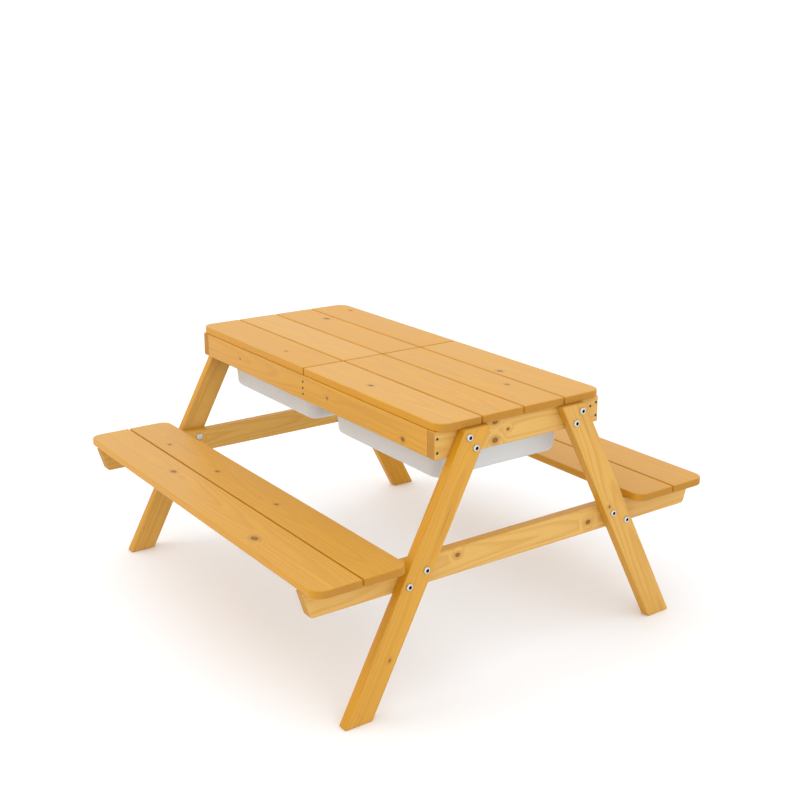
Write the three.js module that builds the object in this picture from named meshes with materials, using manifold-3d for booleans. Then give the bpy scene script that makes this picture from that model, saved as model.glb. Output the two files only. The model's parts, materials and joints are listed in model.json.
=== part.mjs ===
// Children's wooden sand and water table: a four-legged frame with two plastic bins under
// two lift-off lids, and a bench along each long side. Millimetres, +Z up, origin on the
// floor at the middle of the table. X runs along the benches, -Y is the front.
import * as THREE from 'three';
import { mergeVertices } from 'three/addons/utils/BufferGeometryUtils.js';
import Module from 'manifold-3d';

const wasm = await Module();
wasm.setup();

// ---- Driving dimensions -------------------------------------------------------------

// Table frame: two long rails closed by two end boards, and a divider between two bays.
const FRAME_LENGTH = 858; // over the outer faces of the end boards
const FRAME_WIDTH = 378; // over the outer faces of the rails
const FRAME_TOP = 478; // height of the frame's upper edge
const FRAME_HEIGHT = 50; // depth of the boards on edge
const RAIL_THICKNESS = 12;
const DIVIDER_THICKNESS = 12;
const END_THICKNESS = 20;

// Ledges: strips inside each bay that carry the bins' rims.
const LEDGE_WIDTH = 24;
const LEDGE_HEIGHT = 22;
const LEDGE_CORNER_GAP = 8; // long ledges stop short of the end boards
const LEDGE_JOINT_GAP = 1; // divider ledges stop short of the long ledges
const END_LEDGE_NUT_CLEARANCE = 9; // each end of an end ledge to the nearest nut

// Legs: flat boards on the outside of the end boards, spreading towards the floor.
const LEG_WIDTH = 50;
const LEG_THICKNESS = 20;
const LEG_FOOT_Y = 388; // outer edge at the floor
const LEG_TOP_INSET = 51; // outer edge at the frame's upper edge, in from the rail's face
const LEG_FOOT_RADIUS = 5;

// Stretchers: cross-beams between the legs, which reach out under both benches.
const STRETCHER_THICKNESS = 20;
const STRETCHER_HEIGHT = 50;
const STRETCHER_END_SLOPE = 16; // how much shorter the lower edge is at each end
const STRETCHER_TOE_RADIUS = 9;
const STRETCHER_OVERHANG = 1; // past the bench's outer edge

// Benches: two boards each, joined by a batten at mid length.
const SEAT_TOP = 275;
const SEAT_THICKNESS = 15;
const SEAT_OVERHANG = 41; // past the stretchers at each end
const SEAT_BOARD_WIDTH = 90;
const SEAT_BOARD_GAP = 3;
const SEAT_LEG_CLEARANCE = 16; // inner edge to the legs, at the seat's underside
const SEAT_OUTER_RADIUS = 25;
const SEAT_INNER_RADIUS = 22;
const SEAT_EDGE_RADIUS = 3; // at the corners next to the middle gap
const SEAT_BATTEN_WIDTH = 50;
const SEAT_BATTEN_THICKNESS = 15;
const SEAT_BATTEN_SETBACK = 17;

// Lids: two panels of four boards on two battens, which drop inside the frame.
const LID_OVERHANG = 11; // past the end boards
const LID_SEAM = 2; // between the panels
const LID_BOARDS = 4;
const LID_SETBACK = 1.25; // in from the rails' outer faces
const LID_BOARD_GAP = 2.5;
const LID_THICKNESS = 15;
const LID_CORNER_RADIUS = 25;
const LID_EDGE_RADIUS = 2.5;
const LID_BATTEN_WIDTH = 58;
const LID_BATTEN_THICKNESS = 8;
const LID_BATTEN_NUT_CLEARANCE = 1.6; // to the nuts inside the end boards
const LID_BATTEN_DIVIDER_CLEARANCE = 3;
const LID_BATTEN_RAIL_CLEARANCE = 2;
const LID_BIN_CLEARANCE = 1; // between the battens and the bins' rims

// Bins: moulded trays with a flat flange and a turned-down lip that stands on the ledges.
const BIN_DEPTH = 105;
const BIN_WALL = 2.5;
const BIN_LIP_HEIGHT = 8;
const BIN_NUT_CLEARANCE = 2.6; // flange to the nuts, and as much more to the divider
const BIN_RAIL_CLEARANCE = 3; // flange to rails
const BIN_LEDGE_CLEARANCE = 4; // tray wall to the ledges
const BIN_TAPER = 8; // how far each wall leans in over the depth
const BIN_FLANGE_RADIUS = 24;
const BIN_BODY_RADIUS = 30;
const BIN_TOE_RADIUS = 14;
const BIN_LIP_ROUND = 1.5;

// Bolts: button heads outside the legs, low cap nuts inside.
const BOLT_DIAMETER = 6;
const BOLT_HOLE_CLEARANCE = 0.5; // on the radius
const BOLT_HEAD_DIAMETER = 13;
const BOLT_HEAD_HEIGHT = 3.6;
const BOLT_NUT_DIAMETER = 14;
const BOLT_NUT_HEIGHT = 2.4;
const BOLT_PAIR_RISE = 10.5; // each bolt of a pair above or below the joint's middle
const BOLT_PAIR_STAGGER = 12.5; // and to each side of the leg's centre line
const BOLT_SIDES = 16;

// Facets of a quarter round.
const ARC_STEPS = 6;
const TOE_STEPS = 3;

// ---- Places worked out from them ----------------------------------------------------

const endOuterX = FRAME_LENGTH / 2;
const endInnerX = endOuterX - END_THICKNESS;
const binEndClearance = BOLT_NUT_HEIGHT + BIN_NUT_CLEARANCE;
const railOuterY = FRAME_WIDTH / 2;
const railInnerY = railOuterY - RAIL_THICKNESS;
const dividerX = DIVIDER_THICKNESS / 2;
const frameBottom = FRAME_TOP - FRAME_HEIGHT;
const lidBattenBottom = FRAME_TOP - LID_BATTEN_THICKNESS;
const ledgeTop = lidBattenBottom - LID_BIN_CLEARANCE - BIN_LIP_HEIGHT;
const ledgeBottom = ledgeTop - LEDGE_HEIGHT;
const ledgeFrontY = railInnerY - LEDGE_WIDTH;
const legTopY = railOuterY - LEG_TOP_INSET;
const legSlope = (LEG_FOOT_Y - legTopY) / FRAME_TOP;
const legSpan = LEG_WIDTH * Math.hypot(1, legSlope); // a leg's width measured level
const stretcherTop = SEAT_TOP - SEAT_THICKNESS;
const stretcherBottom = stretcherTop - STRETCHER_HEIGHT;
const seatInnerY = LEG_FOOT_Y - legSlope * stretcherTop + SEAT_LEG_CLEARANCE;
const seatSeamY = seatInnerY + SEAT_BOARD_WIDTH + SEAT_BOARD_GAP;
const seatOuterY = seatSeamY + SEAT_BOARD_WIDTH;
const seatHalfLength = endOuterX + SEAT_OVERHANG;
const stretcherEndY = seatOuterY + STRETCHER_OVERHANG;
const lidHalfLength = endOuterX + LID_OVERHANG;
const lidHalfWidth = railOuterY - LID_SETBACK;
const lidBoardWidth = (2 * lidHalfWidth - (LID_BOARDS - 1) * LID_BOARD_GAP) / LID_BOARDS;

// Along X the two sides are left (-1) and right (+1); along Y they are front and back.
const SIDES = [{ name: 'left', x: -1 }, { name: 'right', x: 1 }];
const FACES = [{ name: 'front', y: -1 }, { name: 'back', y: 1 }];

// ---- Materials ----------------------------------------------------------------------

const pine = (color) => new THREE.MeshStandardMaterial({ color, roughness: 0.55, metalness: 0 });
const framePine = pine('#d99c4c');
const legPine = pine('#cf8f3f');
const seatPine = pine('#dda554');
const lidPine = pine('#dcaa62');
const battenPine = pine('#c98a3c');
const binPlastic = new THREE.MeshStandardMaterial({ color: '#e4e6e6', roughness: 0.45, metalness: 0 });
const zincSteel = new THREE.MeshStandardMaterial({ color: '#c9ccce', roughness: 0.3, metalness: 1 });

// ---- Shape helpers ------------------------------------------------------------------

// An outline through the given corners [x, y, radius], each rounded by an arc of its radius.
function roundedOutline(corners) {
  const shape = new THREE.Shape();
  const count = corners.length;
  corners.forEach(([x, y, radius = 0], i) => {
    const here = new THREE.Vector2(x, y);
    const before = new THREE.Vector2(...corners[(i + count - 1) % count]);
    const after = new THREE.Vector2(...corners[(i + 1) % count]);
    const toBefore = before.sub(here).normalize();
    const toAfter = after.sub(here).normalize();
    const half = Math.acos(toBefore.dot(toAfter)) / 2;
    if (radius === 0) {
      if (i === 0) shape.moveTo(x, y);
      else shape.lineTo(x, y);
      return;
    }
    const reach = radius / Math.tan(half);
    const start = here.clone().addScaledVector(toBefore, reach);
    const end = here.clone().addScaledVector(toAfter, reach);
    const toCentre = toBefore.clone().add(toAfter).normalize();
    const centre = here.clone().addScaledVector(toCentre, radius / Math.sin(half));
    const startAngle = start.clone().sub(centre).angle();
    const endAngle = end.clone().sub(centre).angle();
    const clockwise = toBefore.cross(toAfter) > 0;
    if (i === 0) shape.moveTo(start.x, start.y);
    else shape.lineTo(start.x, start.y);
    shape.absarc(centre.x, centre.y, radius, startAngle, endAngle, clockwise);
  });
  return shape;
}

const rectangle = (x0, y0, x1, y1, radius = 0) =>
  roundedOutline([[x0, y0, radius], [x1, y0, radius], [x1, y1, radius], [x0, y1, radius]]);

const extruded = (shape, depth) =>
  new THREE.ExtrudeGeometry(shape, { depth, bevelEnabled: false, curveSegments: ARC_STEPS });

// A plate cut from an outline in the XY plane, from height z0 to z1.
function levelPlate(shape, z0, z1) {
  return extruded(shape, z1 - z0).translate(0, 0, z0);
}

// A plate cut from an outline in the YZ plane, from x0 to x1.
function uprightPlate(shape, x0, x1) {
  const axes = new THREE.Matrix4().makeBasis(
    new THREE.Vector3(0, 1, 0), new THREE.Vector3(0, 0, 1), new THREE.Vector3(1, 0, 0));
  return extruded(shape, x1 - x0).applyMatrix4(axes).translate(x0, 0, 0);
}

// A square-edged board between two opposite corners.
function block([x0, y0, z0], [x1, y1, z1]) {
  const size = [x1 - x0, y1 - y0, z1 - z0];
  return new THREE.BoxGeometry(...size).translate((x0 + x1) / 2, (y0 + y1) / 2, (z0 + z1) / 2);
}

// A closed geometry as a solid, with only its positions kept and shared corners merged.
function toSolid(geometry) {
  const bare = geometry.index ? geometry.clone() : geometry;
  for (const name of Object.keys(bare.attributes)) if (name !== 'position') bare.deleteAttribute(name);
  const merged = mergeVertices(bare, 1e-4);
  return new wasm.Manifold(new wasm.Mesh({
    numProp: 3,
    vertProperties: new Float32Array(merged.attributes.position.array),
    triVerts: new Uint32Array(merged.index.array),
  }));
}

function fromSolid(solid) {
  const mesh = solid.getMesh();
  const geometry = new THREE.BufferGeometry();
  geometry.setAttribute('position', new THREE.BufferAttribute(mesh.vertProperties, 3));
  geometry.setIndex(new THREE.BufferAttribute(mesh.triVerts, 1));
  geometry.computeVertexNormals();
  return geometry;
}

// A board with a clearance hole along X at each of the given [y, z] places.
function drilled(geometry, places, x0, x1) {
  let solid = toSolid(geometry);
  const radius = BOLT_DIAMETER / 2 + BOLT_HOLE_CLEARANCE;
  for (const [y, z] of places) {
    const length = Math.abs(x1 - x0) * 2;
    const drill = new THREE.CylinderGeometry(radius, radius, length, BOLT_SIDES);
    drill.rotateZ(Math.PI / 2).translate((x0 + x1) / 2, y, z);
    solid = solid.subtract(toSolid(drill));
  }
  return fromSolid(solid);
}

const object = new THREE.Group();

function add(name, geometry, material, parent = object) {
  const mesh = new THREE.Mesh(geometry, material);
  mesh.name = name;
  parent.add(mesh);
  return mesh;
}

// ---- Bolt places ----------------------------------------------------------------------

// Each leg has two bolts through the end board and two through the stretcher. A pair is
// staggered across the leg: [y, z] of each, for a leg on the +Y side.
const legCentreY = (z) => LEG_FOOT_Y - legSlope * z - legSpan / 2;
function boltPair(middleZ, upperSide) {
  return [1, -1].map((way) => {
    const z = middleZ + way * BOLT_PAIR_RISE;
    return [legCentreY(z) + way * upperSide * BOLT_PAIR_STAGGER, z];
  });
}
const frameBolts = boltPair(frameBottom + FRAME_HEIGHT / 2, 1);
const stretcherBolts = boltPair(stretcherBottom + STRETCHER_HEIGHT / 2, -1);
const nearestBoltY = Math.min(...frameBolts.map(([y]) => y));
const onBothFaces = (places) => FACES.flatMap(({ y: face }) => places.map(([y, z]) => [face * y, z]));

// ---- Frame ------------------------------------------------------------------------------

for (const { name, y: face } of FACES) {
  const ys = [face * railInnerY, face * railOuterY].sort((a, b) => a - b);
  add(`rail_${name}`, block([-endInnerX, ys[0], frameBottom], [endInnerX, ys[1], FRAME_TOP]), framePine);
}

for (const { name, x: side } of SIDES) {
  const [x0, x1] = [side * endInnerX, side * endOuterX].sort((a, b) => a - b);
  const board = block([x0, -railOuterY, frameBottom], [x1, railOuterY, FRAME_TOP]);
  add(`end_board_${name}`, drilled(board, onBothFaces(frameBolts), x0, x1), framePine);
}

const dividerBoard = block([-dividerX, -railInnerY, frameBottom], [dividerX, railInnerY, FRAME_TOP]);
add('divider', dividerBoard, framePine);

// ---- Ledges -----------------------------------------------------------------------------

for (const { name: sideName, x: side } of SIDES) {
  for (const { name: faceName, y: face } of FACES) {
    const xs = [side * dividerX, side * (endInnerX - LEDGE_CORNER_GAP)].sort((a, b) => a - b);
    const ys = [face * ledgeFrontY, face * railInnerY].sort((a, b) => a - b);
    const ledge = block([xs[0], ys[0], ledgeBottom], [xs[1], ys[1], ledgeTop]);
    add(`ledge_${faceName}_${sideName}`, ledge, battenPine);
  }
  const atEnd = [side * (endInnerX - LEDGE_WIDTH), side * endInnerX].sort((a, b) => a - b);
  const halfEnd = nearestBoltY - BOLT_NUT_DIAMETER / 2 - END_LEDGE_NUT_CLEARANCE;
  add(`ledge_end_${sideName}`,
    block([atEnd[0], -halfEnd, ledgeBottom], [atEnd[1], halfEnd, ledgeTop]), battenPine);

  const atDivider = [side * dividerX, side * (dividerX + LEDGE_WIDTH)].sort((a, b) => a - b);
  const halfDivider = ledgeFrontY - LEDGE_JOINT_GAP;
  add(`ledge_divider_${sideName}`,
    block([atDivider[0], -halfDivider, ledgeBottom], [atDivider[1], halfDivider, ledgeTop]), battenPine);
}

// ---- Legs and their bolts ---------------------------------------------------------------

// A leg's outline in YZ: level cuts at the floor and at the frame's top.
function legOutline(face) {
  return roundedOutline([
    [face * (LEG_FOOT_Y - legSpan), 0, LEG_FOOT_RADIUS],
    [face * LEG_FOOT_Y, 0, LEG_FOOT_RADIUS / 2],
    [face * legTopY, FRAME_TOP],
    [face * (legTopY - legSpan), FRAME_TOP],
  ]);
}

// A bolt with its cap nut, turned about its own axis: +Y of the profile points out of the leg.
function boltGeometry() {
  const shank = BOLT_DIAMETER / 2;
  const grip = LEG_THICKNESS + END_THICKNESS;
  const head = BOLT_HEAD_DIAMETER / 2;
  const nut = BOLT_NUT_DIAMETER / 2;
  const profile = [
    [0, -grip - BOLT_NUT_HEIGHT],
    [nut * 0.8, -grip - BOLT_NUT_HEIGHT],
    [nut, -grip - BOLT_NUT_HEIGHT * 0.5],
    [nut, -grip],
    [shank, -grip],
    [shank, 0],
    [head, 0],
    [head, BOLT_HEAD_HEIGHT * 0.3],
    [head * 0.82, BOLT_HEAD_HEIGHT * 0.8],
    [head * 0.5, BOLT_HEAD_HEIGHT],
    [0, BOLT_HEAD_HEIGHT],
  ];
  return new THREE.LatheGeometry(profile.map((p) => new THREE.Vector2(...p)), BOLT_SIDES);
}

for (const { name: sideName, x: side } of SIDES) {
  const outer = side * (endOuterX + LEG_THICKNESS);
  const [x0, x1] = [side * endOuterX, outer].sort((a, b) => a - b);
  for (const { name: faceName, y: face } of FACES) {
    const places = [...frameBolts, ...stretcherBolts].map(([y, z]) => [face * y, z]);
    const leg = uprightPlate(legOutline(face), x0, x1);
    add(`leg_${faceName}_${sideName}`, drilled(leg, places, x0, x1), legPine);
    places.forEach(([y, z], i) => {
      const bolt = add(`bolt_${faceName}_${sideName}_${i + 1}`, boltGeometry(), zincSteel);
      bolt.position.set(outer, y, z);
      bolt.rotation.z = -side * Math.PI / 2;
    });
  }
}

// ---- Stretchers -------------------------------------------------------------------------

for (const { name, x: side } of SIDES) {
  const [x0, x1] = [side * (endOuterX - STRETCHER_THICKNESS), side * endOuterX].sort((a, b) => a - b);
  const toeY = stretcherEndY - STRETCHER_END_SLOPE;
  const outline = roundedOutline([
    [-toeY, stretcherBottom, STRETCHER_TOE_RADIUS],
    [toeY, stretcherBottom, STRETCHER_TOE_RADIUS],
    [stretcherEndY, stretcherTop],
    [-stretcherEndY, stretcherTop],
  ]);
  const beam = uprightPlate(outline, x0, x1);
  add(`stretcher_${name}`, drilled(beam, onBothFaces(stretcherBolts), x0, x1), framePine);
}

// ---- Benches ----------------------------------------------------------------------------

for (const { name, y: face } of FACES) {
  const boards = [
    {
      part: 'outer', near: seatSeamY, far: seatOuterY,
      nearRadius: SEAT_EDGE_RADIUS, farRadius: SEAT_OUTER_RADIUS,
    },
    {
      part: 'inner', near: seatInnerY, far: seatInnerY + SEAT_BOARD_WIDTH,
      nearRadius: SEAT_INNER_RADIUS, farRadius: SEAT_EDGE_RADIUS,
    },
  ];
  for (const { part, near, far, nearRadius, farRadius } of boards) {
    const corners = [
      [-seatHalfLength, face * near, nearRadius],
      [seatHalfLength, face * near, nearRadius],
      [seatHalfLength, face * far, farRadius],
      [-seatHalfLength, face * far, farRadius],
    ];
    const board = levelPlate(roundedOutline(corners), stretcherTop, SEAT_TOP);
    add(`bench_${name}_${part}_board`, board, seatPine);
  }
  const ys = [face * (seatInnerY + SEAT_BATTEN_SETBACK), face * (seatOuterY - SEAT_BATTEN_SETBACK)];
  ys.sort((a, b) => a - b);
  const halfBatten = SEAT_BATTEN_WIDTH / 2;
  add(`bench_${name}_batten`,
    block([-halfBatten, ys[0], stretcherTop - SEAT_BATTEN_THICKNESS], [halfBatten, ys[1], stretcherTop]),
    battenPine);
}

// ---- Lids -------------------------------------------------------------------------------

for (const { name, x: side } of SIDES) {
  const inner = LID_SEAM / 2;
  for (let i = 0; i < LID_BOARDS; i += 1) {
    const y0 = -lidHalfWidth + i * (lidBoardWidth + LID_BOARD_GAP);
    const y1 = y0 + lidBoardWidth;
    const frontRadius = i === 0 ? LID_CORNER_RADIUS : LID_EDGE_RADIUS;
    const backRadius = i === LID_BOARDS - 1 ? LID_CORNER_RADIUS : LID_EDGE_RADIUS;
    const corners = [
      [side * inner, y0, LID_EDGE_RADIUS],
      [side * lidHalfLength, y0, frontRadius],
      [side * lidHalfLength, y1, backRadius],
      [side * inner, y1, LID_EDGE_RADIUS],
    ];
    const board = levelPlate(roundedOutline(corners), FRAME_TOP, FRAME_TOP + LID_THICKNESS);
    add(`lid_${name}_board_${i + 1}`, board, lidPine);
  }
  const halfBatten = railInnerY - LID_BATTEN_RAIL_CLEARANCE;
  const battenReach = endInnerX - BOLT_NUT_HEIGHT - LID_BATTEN_NUT_CLEARANCE;
  const battens = [
    { part: 'outer', x: battenReach - LID_BATTEN_WIDTH },
    { part: 'inner', x: dividerX + LID_BATTEN_DIVIDER_CLEARANCE },
  ];
  for (const { part, x } of battens) {
    const [x0, x1] = [side * x, side * (x + LID_BATTEN_WIDTH)].sort((a, b) => a - b);
    const batten = block([x0, -halfBatten, lidBattenBottom], [x1, halfBatten, FRAME_TOP]);
    add(`lid_${name}_batten_${part}`, batten, battenPine);
  }
}

// ---- Bins -------------------------------------------------------------------------------

// A closed surface through rounded-rectangle rings, each [half length, half width, radius, z],
// with a flat cap on the first and on the last.
function ringLoft(rings) {
  const outlineOf = ([halfX, halfY, radius]) => {
    const points = rectangle(-halfX, -halfY, halfX, halfY, radius).getPoints(ARC_STEPS);
    const last = points[points.length - 1];
    if (last.distanceTo(points[0]) < 1e-6) points.pop();
    return points;
  };
  const outlines = rings.map(outlineOf);
  const around = outlines[0].length;
  const positions = outlines.flatMap((points, r) => points.flatMap((p) => [p.x, p.y, rings[r][3]]));
  const index = [];
  for (let r = 0; r + 1 < rings.length; r += 1) {
    for (let i = 0; i < around; i += 1) {
      const a = r * around + i;
      const b = r * around + (i + 1) % around;
      index.push(a, b, b + around, a, b + around, a + around);
    }
  }
  const last = (rings.length - 1) * around;
  for (let i = 1; i + 1 < around; i += 1) {
    index.push(0, i + 1, i, last, last + i, last + i + 1);
  }
  const geometry = new THREE.BufferGeometry();
  geometry.setAttribute('position', new THREE.Float32BufferAttribute(positions, 3));
  geometry.setIndex(index);
  geometry.computeVertexNormals();
  return geometry;
}

// Rings run from the tray's underside, out over the lip and flange, and down inside.
function binGeometry(flangeX, flangeY, bodyX, bodyY) {
  const underFlange = BIN_DEPTH - BIN_WALL;
  const lipBottom = BIN_DEPTH - BIN_LIP_HEIGHT;
  const wall = (z, inset) => {
    const lean = BIN_TAPER * (1 - z / BIN_DEPTH) + inset;
    return [bodyX - lean, bodyY - lean, BIN_BODY_RADIUS - lean, z];
  };
  const flange = (inset, z) => [flangeX - inset, flangeY - inset, BIN_FLANGE_RADIUS - inset, z];
  const toe = (floor, radius, inset) => {
    const steps = Array.from({ length: TOE_STEPS + 1 }, (_, i) => (i / TOE_STEPS) * Math.PI / 2);
    return steps.map((angle) => {
      const z = floor + radius * (1 - Math.cos(angle));
      return wall(z, inset + radius * (1 - Math.sin(angle)));
    });
  };
  return ringLoft([
    ...toe(0, BIN_TOE_RADIUS, 0),
    wall(underFlange, 0),
    flange(BIN_WALL, underFlange),
    flange(BIN_WALL, lipBottom),
    flange(0, lipBottom),
    flange(0, BIN_DEPTH - BIN_LIP_ROUND),
    flange(BIN_LIP_ROUND, BIN_DEPTH),
    wall(BIN_DEPTH, BIN_WALL - BIN_LIP_ROUND),
    wall(BIN_DEPTH - BIN_LIP_ROUND, BIN_WALL),
    ...toe(BIN_WALL, BIN_TOE_RADIUS - BIN_WALL, BIN_WALL).reverse(),
  ]);
}

for (const { name, x: side } of SIDES) {
  const bayMiddle = (dividerX + endInnerX) / 2;
  const halfBay = (endInnerX - dividerX) / 2;
  const tray = binGeometry(
    halfBay - binEndClearance,
    railInnerY - BIN_RAIL_CLEARANCE,
    halfBay - LEDGE_WIDTH - BIN_LEDGE_CLEARANCE,
    ledgeFrontY - BIN_LEDGE_CLEARANCE,
  );
  const bin = add(`bin_${name}`, tray, binPlastic);
  bin.position.set(side * bayMiddle, 0, ledgeTop + BIN_LIP_HEIGHT - BIN_DEPTH);
}

export default object;
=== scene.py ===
"""Looks of a children's sand and water table, built around its CAD frame. Metres, +Z up.

The table is honey-stained pine: a frame of boards on edge with two plastic bins hung in it,
two lids of four boards each, four splayed legs and a bench along each long side.
"""

import json
import math
from functools import partial

import bpy
import numpy as np
from bpy.props import FloatProperty, FloatVectorProperty, IntProperty
from bpy.props import PointerProperty, StringProperty
from bpy.types import Operator, Panel, PropertyGroup
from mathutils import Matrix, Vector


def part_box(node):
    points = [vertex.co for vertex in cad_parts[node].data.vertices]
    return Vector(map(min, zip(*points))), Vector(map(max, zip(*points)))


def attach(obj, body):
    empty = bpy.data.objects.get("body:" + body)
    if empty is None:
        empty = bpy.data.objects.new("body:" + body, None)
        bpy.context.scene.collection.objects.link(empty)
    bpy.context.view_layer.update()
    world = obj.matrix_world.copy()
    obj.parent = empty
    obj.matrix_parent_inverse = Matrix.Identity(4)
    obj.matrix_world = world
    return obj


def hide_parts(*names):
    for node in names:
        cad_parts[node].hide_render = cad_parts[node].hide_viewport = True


bl_info = {
    "name": "Sand and Water Table",
    "version": (1, 0, 0),
    "blender": (4, 5, 0),
    "location": "View3D > Sidebar > Table",
    "description": "Builds a children's sand and water table of pine boards and plastic bins",
    "category": "Object",
}

MM = 0.001
SIDES = ("left", "right")  # towards -X and towards +X
FACES = ("front", "back")  # towards -Y and towards +Y

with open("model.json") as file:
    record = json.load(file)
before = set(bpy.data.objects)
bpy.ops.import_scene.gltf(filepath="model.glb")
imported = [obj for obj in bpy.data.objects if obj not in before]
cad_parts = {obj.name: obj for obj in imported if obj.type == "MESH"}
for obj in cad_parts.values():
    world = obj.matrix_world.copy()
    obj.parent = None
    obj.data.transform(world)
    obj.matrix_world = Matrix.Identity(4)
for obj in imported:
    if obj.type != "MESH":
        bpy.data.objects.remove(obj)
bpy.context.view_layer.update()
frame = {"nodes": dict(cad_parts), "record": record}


# ---- Settings ------------------------------------------------------------------------


def length(name, description, default_mm):
    """A length property, given here in millimetres and held in metres."""
    return FloatProperty(
        name=name,
        description=description,
        default=default_mm * MM,
        min=0.0,
        subtype="DISTANCE",
        unit="LENGTH",
        precision=4,
    )


def colour(name, description, default_hex):
    """A stain, plastic or floor colour, given as sRGB hex."""
    return StringProperty(name=name, description=description, default=default_hex)


class BoardSettings(PropertyGroup):
    """Sizes of the sawn and planed boards that the CAD boxes don't give."""

    ease: length("Eased edge", "Radius sanded on the long edges of the main boards", 2.2)
    batten_ease: length("Batten edge", "Radius on the edges of ledges and battens", 1.2)
    corner: length("Square corner", "Radius in plan of a corner that is left square", 2.4)
    bench_outer_corner: length("Bench outer corner", "Radius of a bench's two outer corners", 25)
    bench_inner_corner: length("Bench inner corner", "Radius of a bench's two inner corners", 22)
    lid_corner: length("Lid corner", "Radius of the four corners of the table top", 25)
    leg_width: length("Leg width", "Width of a leg's board across its slope", 50)
    leg_foot_corner: length("Leg foot corner", "Radius at the blunt corner of each foot", 5)
    stretcher_slope: length("Stretcher slope", "How much shorter a stretcher's lower edge is", 16)
    stretcher_toe: length("Stretcher toe", "Radius at the lower corners of a stretcher", 9)
    arc_steps: IntProperty(name="Arc steps", description="Facets of each corner", default=8, min=2)


class BinSettings(PropertyGroup):
    """Sizes of the moulded bins."""

    wall: length("Wall", "Thickness of the moulded wall", 2.5)
    lip: length("Lip height", "Height of the turned-down lip", 8)
    flange: length("Flange width", "From the tray's wall to the flange's edge", 23)
    taper: length("Taper", "How far each wall leans in over the depth", 8)
    body_corner: length("Body corner", "Radius of the tray's upright corners", 30)
    flange_corner: length("Flange corner", "Radius of the flange's corners", 24)
    toe: length("Toe radius", "Radius between wall and floor", 14)
    fold: length("Fold radius", "Radius where the flange folds over", 2.4)


class FastenerSettings(PropertyGroup):
    """Sizes of the bolts and screws."""

    head: length("Head diameter", "Diameter of a bolt's button head", 13)
    head_height: length("Head height", "Height of a bolt's button head", 3.6)
    nut: length("Nut diameter", "Diameter of a cap nut", 14)
    nut_height: length("Nut height", "Height of a cap nut", 2.4)
    shank: length("Shank diameter", "Diameter of a bolt's shank", 6)
    socket: length("Socket", "Hexagon socket across its flats", 6)
    socket_depth: length("Socket depth", "Depth of the socket in a bolt's head", 2.8)
    screw_head: length("Screw head", "Diameter of a countersunk screw's head", 5)
    screw_rise: length("Screw rise", "From a rail's middle up or down to its screws", 12.5)
    third_in: length("Third screw in", "From a rail's middle to an end board's third screw", 14)
    third_up: length("Third screw up", "From a rail's middle up to that screw", 7.5)
    screw_apart: length("Screws apart", "Between a bench batten's two rows of screws", 24)


class FinishSettings(PropertyGroup):
    """Colours of the finishes, as sRGB hex."""

    pale: colour("Pale stain", "Early wood of the palest boards", "#DAAF62")
    deep: colour("Deep stain", "Early wood of the deepest boards", "#CE921C")
    late: colour("Late wood", "Late wood in the rings", "#B87C1C")
    soaked: colour("Soaked", "Stain sunk into end grain, fibres and round a knot", "#A46E20")
    knot: colour("Knot", "Heart of a knot under the stain", "#6E4A1E")
    bark: colour("Bark ring", "Rim of a knot and the depth of a drying check", "#46300F")
    bin: colour("Bin", "Moulded polypropylene", "#CBCDCD")
    zinc: colour("Zinc", "Bright zinc plate", "#C9CCCF")
    # Painted shade: the dark colour inside a bolt's socket.
    painted_socket_shade: colour("Recess", "Oily steel inside a bolt's socket", "#2A2C2F")
    # Partly painted shade: the screws are dark to stand in for their countersunk holes.
    screw: colour("Screw", "Dark waxed steel of the wood screws", "#2B2119")
    floor: colour("Floor", "Studio floor", "#F6F8FA")


class StageSettings(PropertyGroup):
    """Camera, lamps and floor."""

    eye: FloatVectorProperty(
        name="Camera place",
        description="Where the camera stands",
        default=(1.9906, -1.3633, 1.1336),
        size=3,
        subtype="TRANSLATION",
        unit="LENGTH",
    )
    azimuth: FloatProperty(name="Azimuth", description="Camera's bearing, degrees", default=54.75)
    elevation: FloatProperty(name="Elevation", description="Camera's tilt, degrees", default=13.3)
    lens: FloatProperty(name="Lens", description="Focal length, mm on a 36 mm sensor", default=55.2)
    shift: FloatProperty(name="Shift", description="Vertical lens shift", default=-0.1)
    sky: FloatProperty(name="Sky", description="Strength of the even white light", default=1.23)
    key: FloatProperty(name="Key lamp", description="Watts of the front soft box", default=26)
    side: FloatProperty(name="Side lamp", description="Watts of the side soft box", default=9)


class TableSettings(PropertyGroup):
    """All settings of the table, kept on the scene."""

    boards: PointerProperty(type=BoardSettings)
    bins: PointerProperty(type=BinSettings)
    fasteners: PointerProperty(type=FastenerSettings)
    finishes: PointerProperty(type=FinishSettings)
    stage: PointerProperty(type=StageSettings)


# ---- Outlines and surfaces -----------------------------------------------------------


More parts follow.
